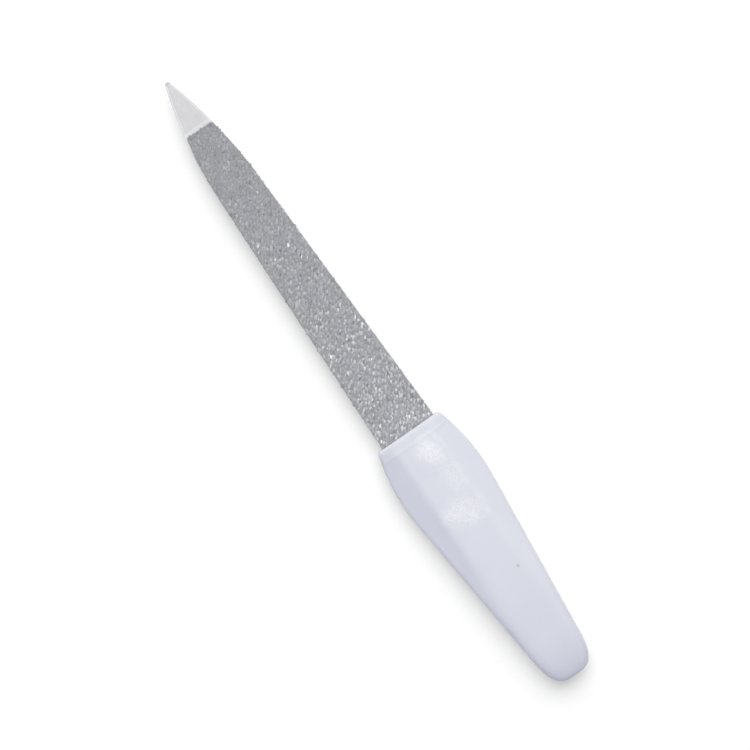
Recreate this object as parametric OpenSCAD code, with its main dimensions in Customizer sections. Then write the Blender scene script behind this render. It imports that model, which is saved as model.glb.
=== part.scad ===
// A steel nail file: a flat blade with a pointed bare end, a grit coat on each face,
// and a plastic handle moulded round the blade's hidden tang.
// +X runs from the point to the tail, +Z is up, and the handle's lower flat lies on z = 0.

/* [Overall] */
// Length from the point to the tail
overall_l = 150; // [135:1:175]
// Length of the moulded handle
handle_l = 61.5; // [56:0.5:72]

/* [Blade] */
// Thickness of the steel
steel_t = 0.45; // [0.4:0.05:0.7]
// Width of the steel where it enters the handle
root_w = 12.6; // [11:0.1:13.2]
// Width of the steel where the pointed end begins
neck_w = 9.3; // [8.4:0.1:10.4]
// Length of the pointed end
point_l = 25.5; // [20:0.5:32]
// Radius at the very tip
tip_r = 0.6; // [0.3:0.05:0.8]
// Length of the bare metal at the tip
bare_l = 12; // [8:0.5:16]
// Width of the bevel ground round the bare tip
bevel_w = 0.35; // [0.2:0.05:0.45]
// Depth of that bevel on each face
bevel_t = 0.14; // [0.05:0.01:0.18]

/* [Grit] */
// Thickness of the grit coat on each face and over the edges
coat_t = 0.12; // [0.08:0.01:0.2]
// Depth to which the coats run into the handle
coat_in = 2; // [1:0.1:3]

/* [Tang] */
// Depth to which the tang reaches into the handle
tang_l = 46; // [38:0.5:48]
// Width of the tang
tang_w = 10; // [8:0.1:10.4]
// Radius at the tang's corners
tang_r = 1.5; // [0.5:0.1:3]
// Diameter of the locking holes
hole_d = 4.5; // [4:0.1:5.6]
// Distance from the mouth to the first locking hole
hole_in = 12; // [9:0.5:14]
// Distance between the locking holes
hole_pitch = 16; // [10:0.5:19]
// Gap that the plastic leaves round the steel as it shrinks
shrink_gap = 0.02; // [0.01:0.01:0.05]

/* [Handle outline] */
// Width at the mouth
mouth_w = 15.3; // [14.8:0.1:16.4]
// Width at the belly
belly_w = 19.3; // [18.4:0.1:21]
// Distance from the mouth to the belly
belly_in = 13; // [12:0.1:17]
// Width where the rounded tail begins
tail_w = 11.8; // [11:0.1:14]
// Length of the rounded tail
tail_l = 8; // [6:0.1:10]
// Radius at the mouth's edge
mouth_r = 0.4; // [0.3:0.05:0.6]

/* [Handle section] */
// Thickness between the two flats
handle_t = 6.4; // [6:0.1:7.2]
// Thickness at the mouth
mouth_t = 3.5; // [3.1:0.1:4]
// Thickness where the rounded tail begins
tail_t = 4.5; // [4:0.1:5]
// Distance from the mouth to the start of the flats
flat_in = 2.6; // [2.2:0.1:3.5]
// Length of the flats
flat_l = 20.5; // [16:0.5:24]
// Width of the flats
flat_w = 9.1; // [8:0.1:10]
// Slope of the faces beside the flats
slope_a = 25; // [21:0.5:28]

/* [Hidden] */

tip_x = -overall_l / 2;
mouth_x = overall_l / 2 - handle_l;
blade_l = overall_l - handle_l;
mid_z = handle_t / 2;
past = 1; // how far a cut runs beyond the face that it opens
steel_colour = [0.84, 0.84, 0.85];
grit_colour = [0.64, 0.65, 0.67];
plastic_colour = [0.87, 0.88, 0.92];

// Arc of n steps about c, without its first point where it follows another arc
function arc(c, r, a0, a1, n, first = 0) =
    [for (i = [first:n]) let (a = a0 + (a1 - a0) * i / n) c + r * [cos(a), sin(a)]];
function mirrored(side) = [for (i = [len(side) - 1:-1:0]) [side[i].x, -side[i].y]];
function between(v, lo, hi) = min(max(v, lo), hi);

// Blade outline, measured from the tip. Each side is a long straight taper and an ogive
// arc, tangent to the taper at the neck and to the small circle at the tip.
taper = (root_w - neck_w) / 2 / (blade_l - point_l);
taper_s = sqrt(1 + taper * taper);
neck = [point_l, neck_w / 2];
inward = [taper, -1] / taper_s;
tip_c = [tip_r, 0];
chord = neck - tip_c;
ogive_r = (chord * chord - tip_r * tip_r) / (-2 * (chord * inward + tip_r));
ogive_c = neck + ogive_r * inward;
ogive_a0 = atan2(tip_c.y - ogive_c.y, tip_c.x - ogive_c.x);
ogive_a1 = atan2(-inward.y, -inward.x);
tip_steps = 6;
ogive_steps = 22;

function taper_y(x, grow) = neck.y + taper * (x - neck.x) + grow * taper_s;
function blade_side(grow, x_end) = concat(
    arc(tip_c, tip_r + grow, 180, ogive_a0, tip_steps, 1),
    arc(ogive_c, ogive_r + grow, ogive_a0, ogive_a1, ogive_steps, 1),
    [[x_end, taper_y(x_end, grow)]]);

module blade_plan(grow, x_end) {
    side = blade_side(grow, x_end);
    polygon(concat([[-grow, 0]], side, mirrored(side)));
}

// The part of the blade's outline between two distances from the tip
module blade_band(grow, x0, x1) {
    intersection() {
        blade_plan(grow, x1);
        translate([x0, -root_w]) square([x1 - x0 + past, 2 * root_w]);
    }
}

corner_steps = 8;
module tang_plan(grow) {
    end_x = blade_l + tang_l + grow;
    half = tang_w / 2 + grow;
    corner = tang_r + grow;
    side = concat([[blade_l, half]], arc([end_x - corner, half - corner], corner, 90, 0, corner_steps));
    polygon(concat(side, mirrored(side)));
}

hole_sides = 64;
module locking_holes(r) {
    for (i = [0:1]) translate([blade_l + hole_in + i * hole_pitch, 0]) circle(r, $fn = hole_sides);
}

// Extrudes a plan drawn from the tip, centred on the blade's mid-plane
module plate(t) {
    translate([tip_x, 0, mid_z - t / 2]) linear_extrude(t) children();
}

module blade() {
    root = blade_l + coat_in;
    color(steel_colour) {
        hull() {
            plate(steel_t) difference() {
                blade_plan(-bevel_w, root);
                translate([bare_l, -root_w]) square([root, 2 * root_w]);
            }
            plate(steel_t - 2 * bevel_t) difference() {
                blade_plan(0, root);
                translate([bare_l, -root_w]) square([root, 2 * root_w]);
            }
        }
        plate(steel_t) difference() {
            union() {
                blade_band(0, bare_l, root);
                tang_plan(0);
            }
            locking_holes(hole_d / 2);
        }
    }
}

// One coat lies on its face and wraps the edges as far as the blade's mid-plane
module coat() {
    difference() {
        linear_extrude(steel_t / 2 + coat_t) blade_band(coat_t, bare_l, blade_l + coat_in);
        translate([0, 0, -past]) linear_extrude(steel_t / 2 + past)
            blade_plan(0, blade_l + coat_in + past);
    }
}

module front_grit() {
    color(grit_colour) translate([tip_x, 0, mid_z]) coat();
}

module back_grit() {
    color(grit_colour) translate([tip_x, 0, mid_z]) mirror([0, 0, 1]) coat();
}

// Handle outline: an arc from the mouth over the belly, then a line tangent to it that
// runs to the tail, both measured from the mouth.
tail_in = handle_l - tail_l;
belly_half = belly_w / 2;
swell = (belly_w - mouth_w) / 2;
belly_r = (belly_in * belly_in + swell * swell) / (2 * swell);
belly_c = [belly_in, belly_half - belly_r];
tail_p = [tail_in, tail_w / 2];
to_tail = tail_p - belly_c;
touch_a = atan2(to_tail.y, to_tail.x) + acos(belly_r / norm(to_tail));
touch = belly_c + belly_r * [cos(touch_a), sin(touch_a)];
side_slope = (tail_p.y - touch.y) / (tail_p.x - touch.x);
function rounding(u) = u >= mouth_r ? 0 : mouth_r - sqrt(mouth_r * mouth_r - pow(mouth_r - u, 2));
function half_w(u) = (u < touch.x
    ? belly_c.y + sqrt(belly_r * belly_r - (u - belly_in) * (u - belly_in))
    : touch.y + side_slope * (u - touch.x)) - rounding(u);

// Half thickness behind the mouth's rim: the flat, then a parabola down to the tail
flat_h = handle_t / 2;
flat_end = flat_in + flat_l;
function body_t(u) = u <= flat_end ? flat_h
    : flat_h - (flat_h - tail_t / 2) * pow((u - flat_end) / (tail_in - flat_end), 2);

// Flat's half width and side wall's half height, which the slopes beside the flat join.
// Each is the softened smaller of what the slope gives and what the section leaves.
flat_room = 1.7; // least run of the slope in plan
wall_room = 0.8; // least fall of the slope
soft = 0.5;
function soft_min(a, b) = (a + b - sqrt((a - b) * (a - b) + soft * soft)) / 2;
function flat_half(u) = soft_min(flat_w / 2 + (flat_h - body_t(u)) / tan(slope_a), half_w(u) - flat_room);
function body_wall(u) = soft_min(flat_h - (half_w(u) - flat_w / 2) * tan(slope_a), body_t(u) - wall_room);

// The rim is a bevel right across the mouth, from its lower section up to the body's
function rim(at_mouth, body, u) = u >= flat_in ? body
    : at_mouth + (body - at_mouth) * u / flat_in - rounding(u);
function half_t(u) = rim(mouth_t / 2, body_t(u), u);
function wall_half(u) = rim(mouth_t / 2 - wall_room, body_wall(u), u);

// The tail's rounding shrinks the section's width bluntly and its thickness more gently
function tail_q(u) = between((u - tail_in) / tail_l, 0, 1);
tail_power = 3;
width_power = 3.4;
height_power = 2.5;
function tail_kw(u) = pow(1 - pow(tail_q(u), tail_power), 1 / width_power);
function tail_kt(u) = pow(1 - pow(tail_q(u), tail_power), 1 / height_power);

// The edges beside the flat are softly rounded at the belly and melt towards the tail
edge_cut = 0.9; // how far the rounding reaches from the edge, at the belly
edge_cut_tail = 2.4; // and where the rounded tail begins
wall_cut = 0.9; // the same, for the edges along the side wall
brow_steps = 4;
hip_steps = 3;
function melt(u) = between((u - flat_end) / (tail_in - flat_end), 0, 1);
function bend(a, b, c, cut, n) = let (
        p = b + (a - b) * min(cut / norm(a - b), 0.5),
        q = b + (c - b) * min(cut / norm(c - b), 0.5))
    [for (i = [0:n]) let (k = i / n) p * (1 - k) * (1 - k) + b * 2 * k * (1 - k) + q * k * k];
function quarter(u) = let (
        w = half_w(u), h = half_t(u), f = flat_half(u), e = wall_half(u),
        top = [0, h], brow = [f, h], hip = [w, e], side = [w, 0],
        cut = edge_cut + (edge_cut_tail - edge_cut) * melt(u))
    concat([top], bend(top, brow, hip, cut, brow_steps), bend(brow, hip, side, wall_cut, hip_steps), [side]);
function flipped(q, sy, sz, from, to, step) = [for (i = [from:step:to]) [q[i].x * sy, q[i].y * sz]];
function ring(u) = let (q = quarter(u), n = len(q) - 1)
    concat(flipped(q, 1, 1, 0, n, 1), flipped(q, 1, -1, n - 1, 0, -1),
           flipped(q, -1, -1, 1, n, 1), flipped(q, -1, 1, n - 1, 1, -1));

// Distances from the mouth at which the rings of the moulding lie, closer where it bends
mouth_steps = 2;
rim_steps = 4;
flat_steps = 9;
taper_steps = 12;
tail_steps = 11;
last_a = 87; // at 90 degrees the rings would shrink to the tail's end point
stations = concat(
    [for (i = [0:mouth_steps]) mouth_r * pow(i / mouth_steps, 2)],
    [for (i = [1:rim_steps]) mouth_r + (flat_in - mouth_r) * i / rim_steps],
    [for (i = [1:flat_steps]) flat_in + flat_l * i / flat_steps],
    [for (i = [1:taper_steps]) flat_end + (tail_in - flat_end) * i / taper_steps],
    [for (i = [1:tail_steps]) tail_in + tail_l * sin(last_a * i / tail_steps)]);

module moulding() {
    rings = [for (u = stations) [for (p = ring(u)) [u, p.x * tail_kw(u), p.y * tail_kt(u)]]];
    n = len(rings[0]);
    m = len(rings);
    points = concat([for (r = rings) each r], [[handle_l, 0, 0]]);
    skin = [for (j = [0:m - 2]) for (i = [0:n - 1]) let (k = (i + 1) % n)
        each [[j * n + i, (j + 1) * n + i, (j + 1) * n + k], [j * n + i, (j + 1) * n + k, j * n + k]]];
    mouth_cap = [[for (i = [0:n - 1]) i]];
    tail_cap = [for (i = [0:n - 1]) [(m - 1) * n + i, m * n, (m - 1) * n + (i + 1) % n]];
    polyhedron(points, concat(skin, mouth_cap, tail_cap));
}

module handle() {
    coat_gap = coat_t + shrink_gap;
    color(plastic_colour) difference() {
        translate([mouth_x, 0, mid_z]) moulding();
        plate(steel_t + 2 * coat_gap)
            blade_band(coat_gap, blade_l - past, blade_l + coat_in + shrink_gap);
        plate(steel_t + 2 * shrink_gap) difference() {
            tang_plan(shrink_gap);
            locking_holes(hole_d / 2 - shrink_gap);
        }
    }
}

blade();
front_grit();
back_grit();
handle();
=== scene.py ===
import bpy
import numpy as np
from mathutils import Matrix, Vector


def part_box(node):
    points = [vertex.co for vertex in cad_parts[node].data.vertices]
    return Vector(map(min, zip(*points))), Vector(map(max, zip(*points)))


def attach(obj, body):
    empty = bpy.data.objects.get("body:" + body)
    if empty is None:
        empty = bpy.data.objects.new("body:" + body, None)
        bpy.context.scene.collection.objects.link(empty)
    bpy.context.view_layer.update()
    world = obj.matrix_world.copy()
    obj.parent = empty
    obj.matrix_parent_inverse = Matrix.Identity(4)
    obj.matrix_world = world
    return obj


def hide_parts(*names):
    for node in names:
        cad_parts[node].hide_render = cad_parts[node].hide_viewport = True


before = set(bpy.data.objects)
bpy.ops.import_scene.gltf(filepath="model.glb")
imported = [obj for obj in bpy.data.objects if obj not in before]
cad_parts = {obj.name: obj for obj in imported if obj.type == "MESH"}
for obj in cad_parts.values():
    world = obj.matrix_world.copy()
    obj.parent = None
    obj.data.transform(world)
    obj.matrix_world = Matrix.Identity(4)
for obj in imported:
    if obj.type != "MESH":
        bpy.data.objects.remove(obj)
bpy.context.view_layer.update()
print("frame loaded:", ", ".join(sorted(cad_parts)))

# Everything below is worked out in millimetres and put into the meshes in metres.
mm = 0.001
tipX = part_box("blade")[0].x / mm  # point of the blade
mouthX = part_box("handle")[0].x / mm  # where the blade enters the handle
midZ = (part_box("blade")[0].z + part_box("blade")[1].z) / 2 / mm  # mid-plane of the blade


def gridFaces(rows, columns):
    # Quads of a grid whose columns close into a ring: point (j, i) has the number j * columns + i,
    # and a quad joins it to (j + 1, i), (j + 1, i + 1), (j, i + 1).
    j, i = np.meshgrid(np.arange(rows - 1), np.arange(columns), indexing="ij")
    k = (i + 1) % columns
    quads = [j * columns + i, (j + 1) * columns + i, (j + 1) * columns + k, j * columns + k]
    return np.stack(quads, -1).reshape(-1, 4)


def makePiece(name, points, faces, sharpAngle, shade=None):
    # Points in mm become a mesh in metres. Coincident points are merged, which closes seams and
    # poles. Edges sharper than the angle stay crisp, and at the angle 0 all do.
    mesh = bpy.data.meshes.new(name)
    mesh.from_pydata((points * mm).tolist(), [], list(faces))
    if shade is not None:
        layer = mesh.attributes.new("shade", "FLOAT", "POINT")
        layer.data.foreach_set("value", shade.astype(np.float32))
    piece = bpy.data.objects.new(name, mesh)
    bpy.context.scene.collection.objects.link(piece)
    weld = piece.modifiers.new("weld", "WELD")
    weld.merge_threshold = 1e-7
    graph = bpy.context.evaluated_depsgraph_get()
    welded = bpy.data.meshes.new_from_object(piece.evaluated_get(graph))
    piece.modifiers.remove(weld)
    piece.data = welded
    bpy.data.meshes.remove(mesh)
    welded.name = name
    welded.polygons.foreach_set("use_smooth", np.full(len(welded.polygons), sharpAngle != 0))
    if sharpAngle:
        welded.set_sharp_from_angle(angle=np.radians(sharpAngle))
    print(name, "has", len(welded.polygons), "faces")
    return piece


def fullRing(quarter):
    # A quarter section, from its top (0, z) to its side (y, 0), mirrored twice into a closed ring.
    there, back = quarter[:, :-1], quarter[:, :0:-1]
    return np.concatenate([there, back * [1, -1], there * [-1, -1], back * [-1, 1]], 1)


def straight(a, b, count):
    # Points from a towards b, without b: a + (b - a) * k
    k = np.linspace(0, 1, count, endpoint=False)[None, :, None]
    return a[:, None] + (b - a)[:, None] * k


def bend(p, corner, q, count):
    # Quadratic curve from p to q that rounds the corner: p (1-k)^2 + corner 2k(1-k) + q k^2
    k = np.linspace(0, 1, count, endpoint=False)[None, :, None]
    return p[:, None] * (1 - k) ** 2 + corner[:, None] * 2 * k * (1 - k) + q[:, None] * k ** 2


def joined(parts):
    # Points and quads of several parts as one mesh, each part's numbers moved on past those before
    starts = np.cumsum([0] + [len(points) for points, faces in parts])
    points = np.concatenate([points for points, faces in parts])
    return points, np.concatenate([faces + start for (_, faces), start in zip(parts, starts)])


def lengthOf(v):
    return np.sqrt((v ** 2).sum(-1, keepdims=True))


def newMaterial(name):
    material = bpy.data.materials.new(name)
    material.use_nodes = True
    return material, material.node_tree, material.node_tree.nodes["Principled BSDF"]


def setInputs(tree, node, **inputs):
    # An input is given by its number, as n0, or by its name with underscores for spaces. A socket
    # is linked to it, and any other value is set on it.
    for key, value in inputs.items():
        numbered = key[0] == "n" and key[1:].isdigit()
        socket = node.inputs[int(key[1:]) if numbered else key.replace("_", " ")]
        if isinstance(value, bpy.types.NodeSocket):
            tree.links.new(value, socket)
        else:
            socket.default_value = value


def addNode(tree, kind, settings=None, **inputs):
    node = tree.nodes.new("ShaderNode" + kind)
    for key, value in (settings or {}).items():
        setattr(node, key, value)
    setInputs(tree, node, **inputs)
    return node


def calculate(tree, operation, a, b=0.0):
    return addNode(tree, "Math", {"operation": operation}, n0=a, n1=b).outputs[0]


def remap(tree, value, low, high, first=0.0, last=1.0, curve="LINEAR"):
    # A value from low to high becomes one from first to last, and goes no further
    return addNode(tree, "MapRange", {"interpolation_type": curve},
                   n0=value, n1=low, n2=high, n3=first, n4=last).outputs[0]


def noise(tree, place, scale, detail=2.0, roughness=0.5, output=0):
    node = addNode(tree, "TexNoise", Vector=place, Scale=scale, Detail=detail, Roughness=roughness)
    return node.outputs[output]


def bumps(tree, height, strength, depth, **inputs):
    # Small bumps in the shading, of that depth in mm
    node = addNode(tree, "Bump", Height=height, Strength=strength, Distance=depth * mm, **inputs)
    return node.outputs[0]


def mixColours(tree, factor, first, second):
    return addNode(tree, "Mix", {"data_type": "RGBA"}, n0=factor, n6=first, n7=second).outputs[2]


def onVectors(tree, operation, *vectors):
    # Vector Math; a distance or a length comes out as a number
    inputs = {"n" + str(i): vector for i, vector in enumerate(vectors)}
    node = addNode(tree, "VectorMath", {"operation": operation}, **inputs)
    return node.outputs["Value" if operation in ("DISTANCE", "LENGTH") else "Vector"]


def ramp(tree, factor, stops):
    # A colour that goes through the stops, each a place from 0 to 1 and a colour
    node = addNode(tree, "ValToRGB", Fac=factor)
    elements = node.color_ramp.elements
    while len(elements) < len(stops):
        elements.new(0.5)
    for element, (place, colour) in zip(elements, stops):
        element.position = place
        element.color = (*colour, 1)
    return node.outputs["Color"]


def clouded(tree, cloud, colour, change):
    # The colour, from that share darker to that share lighter as the noise goes up
    darker, lighter = (tuple(level * k for level in colour) for k in (1 - change, 1 + change))
    return ramp(tree, cloud, [(0.3, darker), (0.7, lighter)])


def objectCoordinates(tree, scale=(1, 1, 1)):
    # Object coordinates in millimetres, stretched by scale
    place = tree.nodes.new("ShaderNodeTexCoord").outputs["Object"]
    return addNode(tree, "Mapping", Vector=place, Scale=tuple(s / mm for s in scale)).outputs[0]


camera = {
    "lens": 100.0,
    "sensor": 36.0,
    "mmPerPixel": 0.2085,  # on the blade's mid-plane
    "pixels": 750,
    "centre": (-0.17, 1.11),  # point of the part at the middle of the picture
    "turn": 55.3,  # degrees from the picture's right to the part's +X, clockwise
}
floor = {
    "half": 3.0,
    "seen": (0.76, 0.76, 0.76),  # colour for the eye and for gloss
    "bounce": (0.58, 0.58, 0.58),  # colour that lights the part from below
    "lift": 0.43,  # how far the seen floor is lifted to plain white, which lightens the shadow
}
light = {
    # Soft suns: name, where each lies, strength, angle that it fills in degrees, colour, and
    # whether it leaves the floor out (EXCLUDE) or lights the floor alone (INCLUDE)
    "suns": [
        ("Key", (-0.60, 0.30, 1.0), 2.62, 78, (1, 1, 1), "EXCLUDE"),
        ("FloorKey", (-0.92, 0.45, 1.0), 4.85, 64, (1, 1, 1), "INCLUDE"),
        ("Fill", (0.3, -0.9, 0.5), 0.20, 60, (0.10, 0.25, 1.0), "EXCLUDE"),
    ],
    "sky": 0.28,
    "ceiling": 0.73,  # what gloss sees straight above; the horizon is white
    "windowTowards": (0.07, 0.16, 1.0),  # a small window overhead that glints on grit and steel
    "windowDistance": 0.75,
    "windowSize": (0.17, 0.17),
    "windowWatts": 0.30,
}


def makeCamera():
    data = bpy.data.cameras.new("Camera")
    data.lens, data.sensor_width = camera["lens"], camera["sensor"]
    data.clip_start, data.clip_end = 0.01, 20
    across = camera["mmPerPixel"] * camera["pixels"] * mm
    distance = across * data.lens / data.sensor_width
    view = bpy.data.objects.new("Camera", data)
    view.location = (camera["centre"][0] * mm, camera["centre"][1] * mm, midZ * mm + distance)
    view.rotation_euler = (0, 0, np.radians(camera["turn"]))
    bpy.context.scene.collection.objects.link(view)
    bpy.context.scene.camera = view


def makeFloor():
    h = floor["half"]
    mesh = bpy.data.meshes.new("Floor")
    mesh.from_pydata([(-h, -h, 0), (h, -h, 0), (h, h, 0), (-h, h, 0)], [], [(0, 1, 2, 3)])
    ground = bpy.data.objects.new("Floor", mesh)
    bpy.context.scene.collection.objects.link(ground)
    material, tree, shader = newMaterial("floorPaper")
    path = tree.nodes.new("ShaderNodeLightPath")
    seen = calculate(tree, "MAXIMUM", path.outputs["Is Camera Ray"], path.outputs["Is Glossy Ray"])
    paper = mixColours(tree, seen, (*floor["bounce"], 1), (*floor["seen"], 1))
    setInputs(tree, shader, Base_Color=paper, Roughness=1.0, Specular_IOR_Level=0.0)
    plain = addNode(tree, "Emission", Color=(1, 1, 1, 1), Strength=1.0)
    lifted = addNode(tree, "MixShader", n0=calculate(tree, "MULTIPLY", seen, floor["lift"]),
                     n1=shader.outputs[0], n2=plain.outputs[0])
    setInputs(tree, tree.nodes["Material Output"], Surface=lifted.outputs[0])
    mesh.materials.append(material)
    return ground


def aimed(lamp, towards, distance):
    # A lamp that lies in the direction towards and looks back at the part
    lampObject = bpy.data.objects.new(lamp.name, lamp)
    direction = Vector(towards).normalized()
    lampObject.location = direction * distance
    lampObject.rotation_mode = "QUATERNION"
    lampObject.rotation_quaternion = (-direction).to_track_quat("-Z", "Y")
    bpy.context.scene.collection.objects.link(lampObject)
    return lampObject


def linkLight(lamp, lit, state):
    # Lets the lamp light that object alone (INCLUDE), or all but it (EXCLUDE)
    linked = bpy.data.collections.new(lamp.name + "Links")
    linked.objects.link(lit)
    linked.collection_objects[0].light_linking.link_state = state
    lamp.light_linking.receiver_collection = linked


def makeLight(ground):
    for name, towards, strength, angle, colour, state in light["suns"]:
        sun = bpy.data.lights.new(name, "SUN")
        sun.energy, sun.angle, sun.color = strength, np.radians(angle), colour
        lamp = aimed(sun, towards, 1)  # how far off a sun stands makes no difference
        lamp.visible_glossy = False
        linkLight(lamp, ground, state)
    window = bpy.data.lights.new("Window", "AREA")
    window.shape = "RECTANGLE"
    window.size, window.size_y = light["windowSize"]
    window.energy = light["windowWatts"]
    windowLamp = aimed(window, light["windowTowards"], light["windowDistance"])
    windowLamp.visible_camera = False
    return windowLamp


def makeSky():
    # White to the eye, a weak sky for plain light, and for gloss white at the horizon and deeper
    # straight above
    world = bpy.data.worlds.new("Studio")
    bpy.context.scene.world = world
    world.use_nodes = True
    tree = world.node_tree
    sky = tree.nodes["Background"]
    path = tree.nodes.new("ShaderNodeLightPath")
    direction = tree.nodes.new("ShaderNodeTexCoord").outputs["Generated"]
    up = addNode(tree, "SeparateXYZ", n0=direction).outputs["Z"]
    above = remap(tree, up, 0.6, 1.0, 1.0, light["ceiling"])
    seen = calculate(tree, "MAXIMUM", path.outputs["Is Camera Ray"], path.outputs["Is Transmission Ray"])
    gloss = addNode(tree, "Mix", {"data_type": "FLOAT"}, n0=path.outputs["Is Glossy Ray"],
                    n2=light["sky"], n3=above)
    strength = addNode(tree, "Mix", {"data_type": "FLOAT"}, n0=seen, n2=gloss.outputs[0], n3=1.0)
    setInputs(tree, sky, Color=(1, 1, 1, 1), Strength=strength.outputs[0])


makeCamera()
windowLamp = makeLight(makeFloor())
makeSky()
bpy.context.scene.view_settings.view_transform = "Standard"
print("camera, floor and light are in place")


# The steel blank, in mm from its tip; the tang's sizes are from the handle's mouth
blade = {
    "length": 88.5, "thickness": 0.45, "rootWidth": 12.6, "neckWidth": 9.3,
    "pointLength": 25.5, "tipRadius": 0.6, "bareLength": 12.0,
    "bevelWidth": 0.35, "bevelDepth": 0.14,
    "rootIn": 2.0,  # how far the wide part, and the coats on it, go into the handle
    "tangWidth": 10.0, "tangLength": 46.0, "tangRadius": 1.5,
    "holeDiameter": 4.5, "holeIn": 12.0, "holePitch": 16.0,
    "colour": (0.86, 0.86, 0.88),
    # Brightness of the bare point at distances from the tip: darker at the very tip, brighter just
    # behind it and in a narrow band just before the coat's edge
    "tones": [(0, 0.78), (0.4, 0.84), (0.8, 1.04), (1.6, 1.04), (2.4, 1), (10.9, 1), (11.2, 1.10),
              (11.6, 1.10), (11.75, 1.0)],
    "edgeShade": 0.72,  # painted shade: brightness of the bevel's outer edge
    "acrossPoints": 13,  # from the middle of a section to its edge
    "roughness": 0.22,
}


def bladeSides(x, grow=0.0):
    # Half width at the distance x from the tip, grown outwards by grow: a small circle at the tip,
    # an ogive arc tangent to it and to the taper, and the straight taper
    b = blade
    taper = (b["rootWidth"] - b["neckWidth"]) / 2 / (b["length"] - b["pointLength"])
    steep = np.sqrt(1 + taper ** 2)
    neck = np.array([b["pointLength"], b["neckWidth"] / 2])
    inward = np.array([taper, -1]) / steep
    tip = np.array([b["tipRadius"], 0])
    chord = neck - tip
    radius = (chord @ chord - b["tipRadius"] ** 2) / (-2 * (chord @ inward + b["tipRadius"]))
    centre = neck + radius * inward
    outward = (tip - centre) / np.hypot(*(tip - centre))
    tipEnd = tip[0] + (b["tipRadius"] + grow) * outward[0]
    ogiveEnd = centre[0] - (radius + grow) * inward[0]
    small = np.sqrt(np.maximum((b["tipRadius"] + grow) ** 2 - (x - tip[0]) ** 2, 0))
    back = centre[0] - np.minimum(x, ogiveEnd)
    large = centre[1] + np.sqrt(np.maximum((radius + grow) ** 2 - back ** 2, 0))
    line = neck[1] + taper * (x - neck[0]) + grow * steep
    return np.where(x < tipEnd, small, np.where(x < ogiveEnd, large, line))


def bladeRings(x, w, inner, crown, shoulder):
    # Closed sections from a quarter that is flat at crown to inner, slopes down to shoulder at the
    # edge w, and goes straight down to the mid-plane
    across, slope = np.linspace(0, 1, blade["acrossPoints"]), np.array([0.5, 1])
    w, inner, crown, shoulder = (v[:, None] for v in (w, inner, crown, shoulder))
    y = np.concatenate([inner * across, inner + (w - inner) * slope, w], 1)
    z = np.concatenate([crown + 0 * across, crown + (shoulder - crown) * slope, 0 * w], 1)
    rings = fullRing(np.stack([y, z], -1))
    along = np.broadcast_to(x[:, None, None], rings.shape[:2] + (1,))
    return np.concatenate([along, rings], -1)


def holePatch(centre):
    # A rectangle of the tang with a hole in it: outline * (1 - k) + circle * k, inwards over the
    # upper face, down the hole's wall and outwards over the lower face
    b = blade
    half, tangHalf, pitch = b["thickness"] / 2, b["tangWidth"] / 2, b["holePitch"]
    across = np.linspace(0, 1, b["acrossPoints"])
    ys = np.concatenate([-across[:0:-1], across]) * tangHalf
    xs = np.linspace(-pitch / 2, pitch / 2, 17)
    ends, sides = np.full(len(ys), pitch / 2), np.full(len(xs) - 2, tangHalf)
    frameX = np.concatenate([ends, xs[::-1][1:-1], -ends, xs[1:-1]])
    frameY = np.concatenate([ys, sides, ys[::-1], -sides])
    angle = np.arctan2(frameY / tangHalf, frameX / (pitch / 2))
    holeX, holeY = np.cos(angle) * b["holeDiameter"] / 2, np.sin(angle) * b["holeDiameter"] / 2
    levels = np.array([(0, 1), (0.5, 1), (1, 1), (1, -1), (0.5, -1), (0, -1), (0, 0), (0, 1)])
    k, height = levels[:, :1], levels[:, 1:] * half
    patch = np.stack([
        centre + frameX * (1 - k) + holeX * k,
        frameY * (1 - k) + holeY * k,
        height + 0 * frameX,
    ], -1)
    quads = gridFaces(len(levels), len(frameX))
    # Only the patch's long sides get an outer wall: its ends meet the rest of the tang
    wallStart = (len(levels) - 3) * len(frameX)
    onSide = np.abs(np.abs(frameY) - tangHalf) < 1e-9
    runs = np.abs(np.roll(frameX, -1) - frameX) > 1e-9
    keep = onSide & np.roll(onSide, -1) & runs
    quads = np.concatenate([quads[:wallStart], quads[wallStart:][np.tile(keep, 2)]])
    return patch.reshape(-1, 3), quads[:, ::-1]


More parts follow.
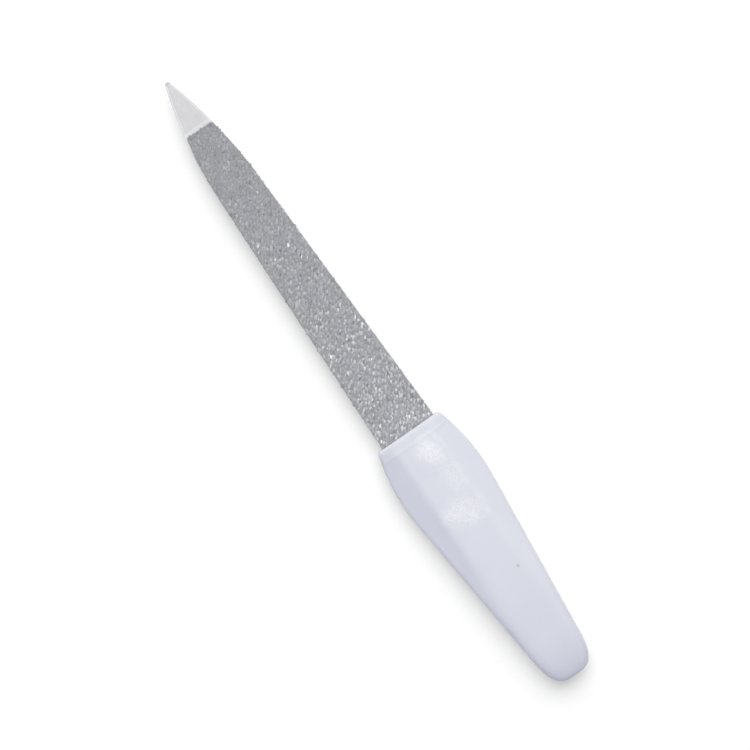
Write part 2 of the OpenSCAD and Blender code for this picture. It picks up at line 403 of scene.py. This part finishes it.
def makeBlade():
    # Sections from the tip to the handle and on as the tang, broken off for the holes' two patches
    b = blade
    half, root = b["thickness"] / 2, b["length"] + b["rootIn"]
    ease = 0.3  # length over which one section changes into the next, under the coat or in the handle
    # Bevelled bare point, then the flat band that the coats cover, as one run of sections
    bareX = np.concatenate([
        b["tipRadius"] * (1 - np.cos(np.linspace(0, np.pi / 2, 14))),
        np.linspace(b["tipRadius"], b["bareLength"], 60)[1:],
    ])
    x = np.concatenate([bareX, np.linspace(b["bareLength"] + ease, root - ease, 40)])
    bevelled = np.arange(len(x)) < len(bareX)
    w = bladeSides(x)
    inner = np.where(bevelled, np.where(x > b["bevelWidth"], bladeSides(x, -b["bevelWidth"]), 0), w)
    crown = np.where(bevelled, half - b["bevelDepth"] * (1 - np.clip(x / b["bevelWidth"], 0, 1)), half)
    shoulder = np.where(bevelled, half - b["bevelDepth"], half)

    # The tang's two straight parts, before and behind its holes
    tangHalf, r = b["tangWidth"] / 2, b["tangRadius"]
    firstHole, pitch = b["length"] + b["holeIn"], b["holePitch"]
    tangEnd = b["length"] + b["tangLength"]
    turn = np.linspace(0, np.pi / 2, 8)
    neckX = np.array([root, firstHole - pitch / 2])
    endX = np.concatenate([[firstHole + 1.5 * pitch], tangEnd - r + r * np.sin(turn), [tangEnd]])
    endW = np.concatenate([[tangHalf], tangHalf - r + r * np.cos(turn), [tangHalf - r]])
    endZ = np.where(np.arange(len(endX)) < len(endX) - 1, half, 0)

    def plain(x, w, z):
        return bladeRings(x, w, w, z, z)

    front = bladeRings(x, w, inner, crown, shoulder)
    runs = [np.concatenate([front, plain(neckX, np.full(2, tangHalf), np.full(2, half))])]
    runs.append(plain(endX, endW, endZ))
    parts = [(run.reshape(-1, 3), gridFaces(*run.shape[:2])) for run in runs]
    parts += [holePatch(firstHole), holePatch(firstHole + pitch)]
    points, faces = joined(parts)
    return makePiece("BladeSteel", points + [tipX, 0, midZ], faces, 8)


def steelMaterial():
    material, tree, shader = newMaterial("satinSteel")
    place = objectCoordinates(tree)
    brushed = noise(tree, objectCoordinates(tree, (0.35, 5.0, 5.0)), 1.0, 4.0, 0.6)
    tint = clouded(tree, noise(tree, place, 0.5), blade["colour"], 0.03)
    # The ramp holds half of each brightness, because it can't go past 1, and the scale below doubles it
    axes = addNode(tree, "SeparateXYZ", n0=place).outputs
    reach = blade["bareLength"]
    share = remap(tree, axes["X"], tipX, tipX + reach)
    tone = ramp(tree, share, [(x / reach, (level / 2,) * 3) for x, level in blade["tones"]])
    tint = onVectors(tree, "MULTIPLY", tint, tone)
    # Painted shade: the bevel is darker towards its outer edge, where the two bevels meet
    height = calculate(tree, "ABSOLUTE", calculate(tree, "SUBTRACT", axes["Z"], midZ))
    outer = blade["thickness"] / 2 - blade["bevelDepth"]
    paintedEdgeShade = remap(tree, height, outer, outer + blade["bevelDepth"] / 2, 2 * blade["edgeShade"], 2.0)
    tint = addNode(tree, "VectorMath", {"operation": "SCALE"}, n0=tint, Scale=paintedEdgeShade).outputs[0]
    rough = remap(tree, brushed, 0.25, 0.75, blade["roughness"] - 0.06, blade["roughness"] + 0.08)
    skin = bumps(tree, brushed, 0.12, 0.03)
    setInputs(tree, shader, Base_Color=tint, Roughness=rough, Normal=skin, Metallic=1.0)
    return material


bladePiece = makeBlade()
bladePiece.data.materials.append(steelMaterial())
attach(bladePiece, "root")
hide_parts("blade")


# The moulding round the tang. Sizes are in mm, lengths along it start at the mouth, and the slope
# is in degrees. The places of the speck, waves and painted reflection spots are in the part's frame.
handle = {
    "length": 61.5, "mouthWidth": 15.3, "bellyWidth": 19.3, "bellyIn": 13.0,
    "tailWidth": 11.8, "tailLength": 8.0, "mouthRadius": 0.4,
    "thickness": 6.4, "mouthThickness": 3.5, "tailThickness": 4.5,
    "flatIn": 2.6, "flatLength": 20.5, "flatWidth": 9.1, "slope": 25,
    "flatRoom": 1.7, "wallRoom": 0.8,  # least width and drop of the slope
    "soft": 0.5,  # rounding where those take over
    "edgeCut": 0.9, "edgeCutTail": 2.4, "wallCut": 0.9,  # where the rounding of the corners starts
    "roundPower": 3.0, "widthPower": 3.4, "heightPower": 2.5,  # of the tail's rounding
    "seam": 0.03, "seamWidth": 0.07,
    "sidePoints": 9,  # along the side wall of a quarter section
    "colour": (0.717, 0.736, 0.795),
    # Painted reflection: the paler colour of the spots on the upper flat
    "paintedReflectionColour": (0.94, 0.92, 0.965),
    # Painted shade on the slopes, the mouth's rim and the tail: their colours against the flat's
    "paintedSlopeShade": (0.972, 0.963, 0.984), "paintedRimShade": (0.90, 0.905, 0.89), "paintedTailShade": (0.905, 0.903, 0.935),
    "rimAt": (0.3, 0.9, 1.8, 3.4),  # where the rim's painted shade starts, is full, starts to fade, is gone
    "tailAt": (34, 44, 51, 57),  # where the tail's painted shade starts, reaches and leaves a quarter, is full
    # A grey speck caught in the plastic: its place, reach, strength and colour
    "speck": (49.15, 3.0, 6.2), "speckReach": 0.45, "speckDepth": 0.45,
    "speckColour": (0.12, 0.12, 0.13),
    # Where a spot of painted reflection starts to fade and where it ends, in shares of its reach, and
    # how far its edge strays from that
    "reflectionSpotEdge": (0.2, 1.25), "reflectionSpotRagged": 3.6,
    "roughness": 0.17,
    # Shallow waves that shrinkage leaves in the upper flat: place, reach along and across, height
    # of a hump, and tilt of a twist
    "waves": [
        ((19.3, -0.2), (2.9, 2.8), 0.130, 0.0),
        ((34.0, 0.0), (1.8, 5.0), 0.0, 0.040),
    ],
    # Spots of that flat with a painted reflection, paler and over fine bumps: place, reach along and
    # across, depth
    "reflectionSpots": [
        ((19.4, 1.5), (4.2, 3.4), 1.0),
        ((25.8, 2.6), (5.6, 2.6), 0.45),
        ((33.4, 0.6), (3.7, 6.0), 0.72),
    ],
    "clearance": 0.02, "coatRoom": 0.12,  # of the hollow round the tang, and for a coat besides
    "pegOverlap": 0.1, "pegSides": 48,  # of the pegs through the tang's holes
}


def softMin(a, b):
    # The smaller of a and b with a rounded change: (a + b - sqrt((a - b)^2 + soft^2)) / 2
    return (a + b - np.sqrt((a - b) ** 2 + handle["soft"] ** 2)) / 2


def handleSides(u):
    # Half width at the distance u behind the mouth: an arc over the belly, tangent to a straight
    # line to the tail, less a quarter round at the mouth
    h = handle
    tailIn = h["length"] - h["tailLength"]
    swell = (h["bellyWidth"] - h["mouthWidth"]) / 2
    radius = (h["bellyIn"] ** 2 + swell ** 2) / (2 * swell)
    centre = np.array([h["bellyIn"], h["bellyWidth"] / 2 - radius])
    tail = np.array([tailIn, h["tailWidth"] / 2])
    reach = tail - centre
    angle = np.arctan2(reach[1], reach[0]) + np.arccos(radius / np.hypot(*reach))
    touch = centre + radius * np.array([np.cos(angle), np.sin(angle)])
    fall = (tail[1] - touch[1]) / (tail[0] - touch[0])
    arc = centre[1] + np.sqrt(radius ** 2 - (np.minimum(u, touch[0]) - centre[0]) ** 2)
    return np.where(u < touch[0], arc, touch[1] + fall * (u - touch[0])) - mouthRound(u)


def mouthRound(u):
    # What a quarter circle of radius r takes off at the mouth: r - sqrt(r^2 - (r - u)^2)
    r = handle["mouthRadius"]
    return r - np.sqrt(r ** 2 - np.clip(r - u, 0, r) ** 2)


def handleQuarter(u):
    # Top, slope and side wall of the section at u, with the two corners between them rounded. The
    # body thins by the square of the distance behind the flat, and the rim rises in a line.
    h = handle
    top, flatEnd = h["thickness"] / 2, h["flatIn"] + h["flatLength"]
    tailIn = h["length"] - h["tailLength"]
    slope = np.tan(np.radians(h["slope"]))
    melt = np.clip((u - flatEnd) / (tailIn - flatEnd), 0, 1)
    drop = np.maximum((u - flatEnd) / (tailIn - flatEnd), 0) ** 2
    body = top - (top - h["tailThickness"] / 2) * drop
    w = handleSides(u)
    f = softMin(h["flatWidth"] / 2 + (top - body) / slope, w - h["flatRoom"])
    wall = softMin(top - (w - h["flatWidth"] / 2) * slope, body - h["wallRoom"])
    rim = np.clip(u / h["flatIn"], 0, 1)
    atMouth = h["mouthThickness"] / 2
    height = atMouth + (body - atMouth) * rim - mouthRound(u)
    hip = atMouth - h["wallRoom"] + (wall - atMouth + h["wallRoom"]) * rim - mouthRound(u)
    cut = h["edgeCut"] + (h["edgeCutTail"] - h["edgeCut"]) * melt
    zero = np.zeros_like(u)
    a, b, c, d = (np.stack(p, -1) for p in ((zero, height), (f, height), (w, hip), (w, zero)))

    def towards(p, q, size):
        return p + (q - p) * np.minimum(size / lengthOf(q - p), 0.5)

    b0, b1 = towards(b, a, cut[:, None]), towards(b, c, cut[:, None])
    c0, c1 = towards(c, b, h["wallCut"]), towards(c, d, h["wallCut"])
    sideSteps = 1 - np.linspace(1, 0, h["sidePoints"])[None, :, None] ** 2  # closer near the seam
    side = c1[:, None] + (d - c1)[:, None] * sideSteps
    parts = [straight(a, b0, 22), bend(b0, b, b1, 8), straight(b1, c0, 12), bend(c0, c, c1, 8), side]
    return np.concatenate(parts, 1)


def pocketQuarter(halfWidth, halfHeight, count):
    # A rectangle's quarter with the same number of points as the handle's section
    across = np.linspace(0, 1, count - handle["sidePoints"] + 1)[None]
    down = np.linspace(1, 0, handle["sidePoints"])[None, 1:]
    y = np.concatenate([halfWidth[:, None] * across, halfWidth[:, None] * np.ones_like(down)], 1)
    z = np.concatenate([halfHeight[:, None] * np.ones_like(across), halfHeight[:, None] * down], 1)
    return np.stack([y, z], -1)


def makeHandle():
    # Sections from the pocket's end out to the mouth and on over the skin to the tail, as one
    # closed surface, with two pegs across the pocket
    h = handle
    flatEnd, tailIn = h["flatIn"] + h["flatLength"], h["length"] - h["tailLength"]
    turn = np.linspace(0, np.pi / 2, 7)
    skinU = np.concatenate([
        h["mouthRadius"] * (1 - np.cos(turn)),
        np.linspace(h["mouthRadius"], h["flatIn"], 12)[1:],
        np.linspace(h["flatIn"], flatEnd, 83)[1:],
        np.linspace(flatEnd, tailIn, 62)[1:],
        tailIn + h["tailLength"] * np.sin(np.linspace(0, np.pi / 2, 40))[1:],
    ])
    skin = handleQuarter(skinU)
    # The tail's rounding narrows the section by (1 - q^a)^(1/b)
    q = np.clip((skinU - tailIn) / h["tailLength"], 0, 1)
    left = 1 - q ** h["roundPower"]
    skin = skin * np.stack([left ** (1 / h["widthPower"]), left ** (1 / h["heightPower"])], -1)[:, None]
    count = skin.shape[1]

    # The pocket runs from its closed end out to the mouth, a clearance wider than the tang and
    # then than the blade's root with its coats
    gap, r = h["clearance"], blade["tangRadius"] + h["clearance"]
    tangW, tangH = blade["tangWidth"] / 2 + gap, blade["thickness"] / 2 + gap
    coatW, coatH = blade["rootWidth"] / 2 + h["coatRoom"] + gap, tangH + h["coatRoom"]
    tangDepth, coatDepth = blade["tangLength"] + gap, blade["rootIn"] + gap
    endX = tangDepth - r * (1 - np.cos(turn))
    endW = tangW - r * (1 - np.sin(turn))
    depth = np.concatenate([[tangDepth], endX, [coatDepth, coatDepth, 0]])
    halfW = np.concatenate([[tangW - r], endW, [tangW, coatW, coatW]])
    halfH = np.concatenate([[0], np.full(len(endX), tangH), [tangH, coatH, coatH]])
    hollow = pocketQuarter(halfW, halfH, count)

    rings = fullRing(np.concatenate([hollow, skin]))
    u = np.concatenate([depth, skinU])
    points = np.concatenate([np.broadcast_to(u[:, None, None], rings.shape[:2] + (1,)), rings], -1)
    isSkin = (np.arange(len(u)) >= len(depth))[:, None]

    # Seam of the mould: a fine ridge exp(-(z / seamWidth)^2) round the mid-plane, pushed out along
    # the section, which fades in over 3 mm behind the mouth and out over 2 mm round the tail
    y, z = points[..., 1], points[..., 2]
    ridge = h["seam"] * np.exp(-(z / h["seamWidth"]) ** 2) * isSkin * np.clip(points[..., 0] / 3, 0, 1)
    points[..., 1] += ridge * np.sign(y) * np.clip(np.abs(y) / 2, 0, 1)

    # Shrinkage waves of the upper flat: (height - twist * dy) * exp(-(dx / along)^2 - (dy / across)^2)
    onTop = isSkin * np.clip(z / (h["thickness"] / 2), 0, 1) ** 6
    for (x0, y0), (along, across), height, twist in h["waves"]:
        hump = np.exp(-((points[..., 0] + mouthX - x0) / along) ** 2 - ((y - y0) / across) ** 2)
        points[..., 2] += (height - twist * (y - y0)) * hump * onTop

    parts = [(points.reshape(-1, 3), gridFaces(len(u), rings.shape[1]))]

    # The pegs that fill the tang's holes: discs that reach into the pocket's two walls
    turns = np.linspace(0, 2 * np.pi, h["pegSides"], endpoint=False)
    radius = np.array([0, 1, 1, 0]) * (blade["holeDiameter"] / 2 - gap)
    level = np.array([1, 1, -1, -1]) * (tangH + h["pegOverlap"])
    for peg in (blade["holeIn"], blade["holeIn"] + blade["holePitch"]):
        x = peg + radius[:, None] * np.sin(turns)
        y = radius[:, None] * np.cos(turns)
        disc = np.stack([x, y, level[:, None] + 0 * y], -1).reshape(-1, 3)
        parts.append((disc, gridFaces(len(level), len(turns))[:, ::-1]))
    points, faces = joined(parts)
    return makePiece("HandleMoulding", points + [mouthX, 0, midZ], faces, 60)


def plasticMaterial():
    material, tree, shader = newMaterial("blueWhitePlastic")
    place = objectCoordinates(tree)
    cloud = noise(tree, place, 0.12, 3.0)
    peel = noise(tree, place, 1.6, 2.0, 0.45)
    tint = clouded(tree, cloud, handle["colour"], 0.01)
    # Painted shade: the colour is a little deeper on the mouth's rim, and deepens in steps towards the tail
    along = addNode(tree, "SeparateXYZ", n0=place).outputs["X"]
    share = remap(tree, along, mouthX, mouthX + handle["length"])
    plain, rim, tail = (1, 1, 1), handle["paintedRimShade"], handle["paintedTailShade"]
    near = tuple((3 + level) / 4 for level in tail)
    stops = [*zip(handle["rimAt"], (plain, rim, rim, plain)),
             *zip(handle["tailAt"], (plain, near, near, tail))]
    fade = ramp(tree, share, [(x / handle["length"], colour) for x, colour in stops])
    tint = onVectors(tree, "MULTIPLY", tint, fade)
    # and painted shade on the slopes, whose normals lean away from the flats'
    normal = tree.nodes.new("ShaderNodeNewGeometry").outputs["Normal"]
    upright = calculate(tree, "ABSOLUTE", addNode(tree, "SeparateXYZ", n0=normal).outputs["Z"])
    flat = remap(tree, upright, 0.90, 0.99)  # 0 on the slopes and 1 on the flats
    tint = onVectors(tree, "MULTIPLY", tint, ramp(tree, flat, [(0, handle["paintedSlopeShade"]), (1, plain)]))
    # The speck
    away = onVectors(tree, "DISTANCE", place, handle["speck"])
    speck = remap(tree, away, 0.0, handle["speckReach"], handle["speckDepth"], 0.0)
    specked = mixColours(tree, speck, tint, (*handle["speckColour"], 1))
    # Reflection spots: a fine noise that fades out at the ragged edge of each spot, over the even orange
    # peel
    reflectionNoise = noise(tree, place, 2.6, 3.0, 0.6)
    stray, flatZ = handle["reflectionSpotRagged"], midZ + handle["thickness"] / 2
    ragged = noise(tree, place, 0.45, output="Color")
    ragged = onVectors(tree, "MULTIPLY_ADD", ragged, (stray, stray, 0), place)
    reach = 0.0
    for (x, y), (along, across), depth in handle["reflectionSpots"]:
        away = onVectors(tree, "SUBTRACT", ragged, (x + stray / 2, y + stray / 2, flatZ))
        away = onVectors(tree, "LENGTH", onVectors(tree, "DIVIDE", away, (along, across, 1.0)))
        reflectionSpot = remap(tree, away, *handle["reflectionSpotEdge"], depth, 0.0, "SMOOTHSTEP")
        reach = calculate(tree, "MAXIMUM", reach, reflectionSpot)
    # Painted reflection: the spots are paler, more so on the noise's crests
    reflectionCrest = remap(tree, reflectionNoise, 0.40, 0.66, 0.3)
    paintedReflection = mixColours(tree, calculate(tree, "MULTIPLY", reflectionCrest, reach), specked, (*handle["paintedReflectionColour"], 1))
    rough = remap(tree, cloud, 0.3, 0.7, handle["roughness"] - 0.03, handle["roughness"] + 0.05)
    skin = bumps(tree, peel, 0.10, 0.1)
    skin = bumps(tree, calculate(tree, "MULTIPLY", reflectionNoise, reach), 1.0, 0.03, Normal=skin)
    setInputs(tree, shader, Base_Color=paintedReflection, Roughness=rough, Normal=skin, IOR=1.49)
    return material


handlePiece = makeHandle()
handlePiece.data.materials.append(plasticMaterial())
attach(handlePiece, "root")
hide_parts("handle")
# The window glints on the grit and steel alone: on the handle it would draw a line along the flat
linkLight(windowLamp, handlePiece, "EXCLUDE")


# What both coats share, in mm
coat = {
    "bond": 0.075, "bondShade": 0.3,  # depth and shade of the bond in which the crystals stand
    "wall": 0.03, "footReach": 0.05,  # least thickness of its edge, and how soon that leaves the mid-plane
    "inset": 0.15,  # how far the crystals' centres keep from its outline
    "grainAngle": -35,  # direction along which the crystals lie, from +X towards +Y
    "stretch": 1.8,  # how much longer they are that way
    "lowness": 0.55,  # their height against their width, as they lie on their flat sides
    "sizes": (0.75, 1.2), "edgeSizes": (0.45, 0.8),  # on the face and along the edges, against usual
    "jitter": 0.4,  # how far they stray from the lattice, in spacings
    "sink": (0.1, 0.5),  # how deep their centres lie in the bond, in shares of half their height
    "apart": 1.2,  # how much of its neighbours' mean shade a crystal's own shade loses
    "cloudLength": 5.0,  # usual size of the lighter and darker clouds
    "cloudShade": 0.03,
    "tipShade": 0.15,  # how much deeper the crystals are near the point
    "firstMargin": 0.30, "marginLength": 5.0,  # how far the coat's edge starts further in, and fades out
    "edgeShadePainted": 0.8,  # painted shade: how much darker the crystals along the edges are, in spreads of the shade
    "firstRow": 0.6, "firstShade": 0.10,  # reach and shade of the dark crystals where the coat begins
}
# Each coat's own crystals: their spacing and usual half width, the share of them given painted
# glints in the brightest tone, how widely their shades spread at the point and at the handle, and
# the tones of the darkest, the usual and the brightest
frontGrit = {
    "spacing": 0.38, "size": 0.30, "corners": 12, "seed": 11,
    "glints": 0.008, "spread": (0.065, 0.145),
    "tones": [(0.115, 0.115, 0.125), (0.362, 0.366, 0.384), (0.93, 0.93, 0.94)],
}
backGrit = {
    "spacing": 0.30, "size": 0.23, "corners": 8, "seed": 29,
    "glints": 0.004, "spread": (0.05, 0.09),
    "tones": [(0.145, 0.145, 0.155), (0.38, 0.385, 0.405), (0.90, 0.90, 0.92)],
}

# Corners of a crystal of unit size: a plain cube, or one whose corners are cut to the middles of
# its edges. The signs are all combinations of +1 and -1.
signs = np.array(np.meshgrid([-1, 1], [-1, 1], [-1, 1])).reshape(3, -1).T / np.sqrt(3)
cuts = [np.unique(np.roll(signs * [1, 1, 0], k, 1), axis=0) for k in range(3)]
crystalCorners = {8: signs, 12: np.concatenate(cuts) * np.sqrt(1.5)}


def hullTriangles(points):
    # Triangles of a small convex solid: every three points whose plane has all others behind it
    n = len(points)
    i, j, k = (g.ravel() for g in np.meshgrid(*[np.arange(n)] * 3, indexing="ij"))
    apart = (i < j) & (i < k) & (j != k)
    i, j, k = i[apart], j[apart], k[apart]
    normal = np.cross(points[j] - points[i], points[k] - points[i])
    ahead = np.einsum("tc,pc->tp", normal, points) - (normal * points[i]).sum(1)[:, None]
    good = (ahead.max(1) < 1e-9) & (lengthOf(normal)[:, 0] > 1e-9)
    return np.stack([i, j, k], -1)[good]


def crystals(centres, size, corners, rng):
    # Each crystal is one solid of that many corners, scaled and turned at random, then drawn out
    # along the grain: p + (p . grain) * grain * (stretch - 1), and lowered
    base = crystalCorners[corners] + rng.normal(0, 0.04, (corners, 3))
    count = len(centres)
    turns = np.linalg.qr(rng.normal(size=(count, 3, 3)))[0]
    turns *= np.sign(np.linalg.det(turns))[:, None, None]
    scale = rng.uniform(0.75, 1.25, (count, 1, 3)) * size[:, None, None]
    solid = np.einsum("npc,ncd->npd", base[None] * scale, turns)
    turn = np.radians(coat["grainAngle"])
    grain = np.array([np.cos(turn), np.sin(turn), 0])
    solid = solid + (solid @ grain)[..., None] * grain * (coat["stretch"] - 1)
    solid = solid * [1, 1, coat["lowness"]] + centres[:, None]
    faces = hullTriangles(base)[None] + (np.arange(count) * corners)[:, None, None]
    return solid.reshape(-1, 3), faces.reshape(-1, 3)


def clouds(x, y, rng):
    # A smooth random field of unit spread: the sum of waves cos(k . p + phase) whose lengths lie
    # near cloudLength
    count = 40
    k = 2 * np.pi / (coat["cloudLength"] * rng.uniform(0.6, 1.6, count))
    angle, phase = rng.uniform(0, np.pi, count), rng.uniform(0, 2 * np.pi, count)
    swells = np.cos(x[..., None] * k * np.cos(angle) + y[..., None] * k * np.sin(angle) + phase)
    return swells.sum(-1) / np.sqrt(count / 2)


def scatter(grit, rng):
    # Points of a loose lattice turned to the grain, each with a shade of its own that leans away
    # from its eight neighbours'
    pitch, stretch, jitter, reach = grit["spacing"], coat["stretch"], coat["jitter"], blade["length"]
    along, across = np.arange(0, reach, pitch * stretch), np.arange(-reach, reach, pitch)
    u, v = np.meshgrid(along, across, indexing="ij")
    own = rng.normal(size=u.shape)
    rows = sum(np.roll(own, k, 0) for k in (-1, 0, 1))
    around = sum(np.roll(rows, k, 1) for k in (-1, 0, 1)) - own
    own = own - coat["apart"] * around / 8
    u = u + rng.uniform(-jitter, jitter, u.shape) * pitch * stretch
    v = v + rng.uniform(-jitter, jitter, v.shape) * pitch
    turn = np.radians(coat["grainAngle"])
    return u * np.cos(turn) - v * np.sin(turn), u * np.sin(turn) + v * np.cos(turn), own


def coatReach(x):
    # How far the coat's edge lies outside the steel's: bond - firstMargin * exp(-x / marginLength)
    start = np.exp(-(x - blade["bareLength"]) / coat["marginLength"])
    return coat["bond"] - coat["firstMargin"] * start


def makeBond():
    # A thin tray over the face and down to the mid-plane, drawn as closed sections: out over the
    # top, then back along the steel
    b, half = blade, blade["thickness"] / 2
    x = np.linspace(b["bareLength"], b["length"] + b["rootIn"], 200)
    across = np.linspace(-1, 1, 31)
    reach = coatReach(x)
    outer = bladeSides(x, reach)[:, None]
    inside = np.minimum(bladeSides(x)[:, None], outer - coat["wall"])
    # The edge comes up from the mid-plane to stand on the face where it lies further in
    foot = half * np.clip(-reach / coat["footReach"], 0, 1)[:, None]
    y = np.concatenate([-outer, outer * across, outer, inside, inside * across[::-1], -inside], 1)
    face = half + 0 * outer * across
    z = np.concatenate([foot, face + coat["bond"], foot, foot, face, foot], 1)
    bond = np.stack([x[:, None] + 0 * y, y, z], -1)
    bond = np.concatenate([bond[:1], bond, bond[-1:]])
    outside = y.shape[1] // 2
    for end in (0, -1):  # each end closes where the outside of its section folds onto the inside
        bond[end, :outside] = bond[end, :outside - 1:-1]
    return bond.reshape(-1, 3), gridFaces(*bond.shape[:2])


def placeCrystals(grit, rng):
    # Centres, sizes and own shades of the crystals over the face
    b, inset, half = blade, coat["inset"], blade["thickness"] / 2
    x0, x1 = b["bareLength"], b["length"]
    gx, gy, own = scatter(grit, rng)
    inPlan = (np.abs(gy) < bladeSides(gx, coatReach(gx)) - inset) & (gx > x0 + inset) & (gx < x1 - inset)
    gx, gy, own = gx[inPlan], gy[inPlan], own[inPlan]
    size = grit["size"] * rng.uniform(*coat["sizes"], gx.shape)
    sink = rng.uniform(*coat["sink"], gx.shape) * size * coat["lowness"]
    centres = np.stack([gx, gy, half + coat["bond"] - sink], -1)
    # and of a row of smaller ones along each edge, above the mid-plane
    ex = np.tile(np.arange(x0 + 0.2, x1 - 0.2, grit["spacing"]), 2)
    sign = np.repeat([-1, 1], len(ex) // 2)
    ex = ex + rng.uniform(-0.3, 0.3, ex.shape) * grit["spacing"]
    ez = rng.uniform(0.12, half + 0.02, ex.shape)
    edgeSize = grit["size"] * rng.uniform(*coat["edgeSizes"], ex.shape)
    ey = sign * (bladeSides(ex, coatReach(ex)) - edgeSize * 0.7)
    centres = np.concatenate([centres, np.stack([ex, ey, ez], -1)])
    # Painted shade: the crystals along the edges are made darker
    edgeOwn = rng.normal(size=len(ex)) - coat["edgeShadePainted"]
    return centres, np.concatenate([size, edgeSize]), np.concatenate([own, edgeOwn])


def shadeCrystals(centres, own, grit, rng):
    # Each one's own shade, more marked towards the handle, and the cloud's. A few get painted glints.
    x0 = blade["bareLength"]
    far = np.clip((centres[:, 0] - x0) / (blade["length"] - x0), 0, 1)
    low, high = grit["spread"]
    cloud = clouds(centres[:, 0], centres[:, 1], rng)
    shade = 0.5 + (low + (high - low) * far) * own + coat["cloudShade"] * cloud
    shade -= coat["tipShade"] * (1 - far)
    shade[centres[:, 0] < x0 + coat["firstRow"]] -= coat["firstShade"]
    # Painted glints: these crystals take the brightest tone
    shade[rng.uniform(size=len(own)) < grit["glints"] * far * (1 + cloud)] = 1
    return shade


def makeCoat(name, grit, side):
    # The bond and the crystals in it, worked out over the front. side is 1 for the front, and -1
    # mirrors them to the back and turns their faces round.
    rng = np.random.default_rng(grit["seed"])
    points, faces = makeBond()
    centres, size, own = placeCrystals(grit, rng)
    solid, triangles = crystals(centres, size, grit["corners"], rng)
    shade = np.repeat(shadeCrystals(centres, own, grit, rng), grit["corners"])
    shade = np.concatenate([np.full(len(points), coat["bondShade"]), shade])
    triangles = (triangles + len(points)).tolist()
    points = np.concatenate([points, solid]) * [1, 1, side] + [tipX, 0, midZ]
    allFaces = [face[::side] for face in faces.tolist() + triangles]
    print(name, "has", len(centres), "crystals")
    return makePiece(name, points, allFaces, 0, np.clip(shade, 0, 1))


def gritMaterial(name, tones):
    # Each crystal's shade, with a little of a blotchy noise, picks its colour from the tones
    material, tree, shader = newMaterial(name)
    shade = addNode(tree, "Attribute", {"attribute_name": "shade"}).outputs["Fac"]
    place = objectCoordinates(tree)
    level = calculate(tree, "ADD", calculate(tree, "MULTIPLY", shade, 0.9),
                      calculate(tree, "MULTIPLY", noise(tree, place, 1.3), 0.1))
    colour = ramp(tree, level, [(k / 2, tone) for k, tone in enumerate(tones)])
    rough = remap(tree, shade, 0.0, 1.0, 0.6, 0.2)
    skin = bumps(tree, noise(tree, place, 9.0), 0.25, 0.03)
    setInputs(tree, shader, Base_Color=colour, Roughness=rough, Normal=skin, IOR=1.76)
    return material


frontPiece = makeCoat("FrontGrit", frontGrit, 1)
frontPiece.data.materials.append(gritMaterial("coarseGrit", frontGrit["tones"]))
backPiece = makeCoat("BackGrit", backGrit, -1)
backPiece.data.materials.append(gritMaterial("fineGrit", backGrit["tones"]))
for piece, node, slot in (
    (frontPiece, "front_grit", "coarse_grit"),
    (backPiece, "back_grit", "fine_grit"),
):
    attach(piece, "root")
    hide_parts(node)
print("blade, handle and coats are made")
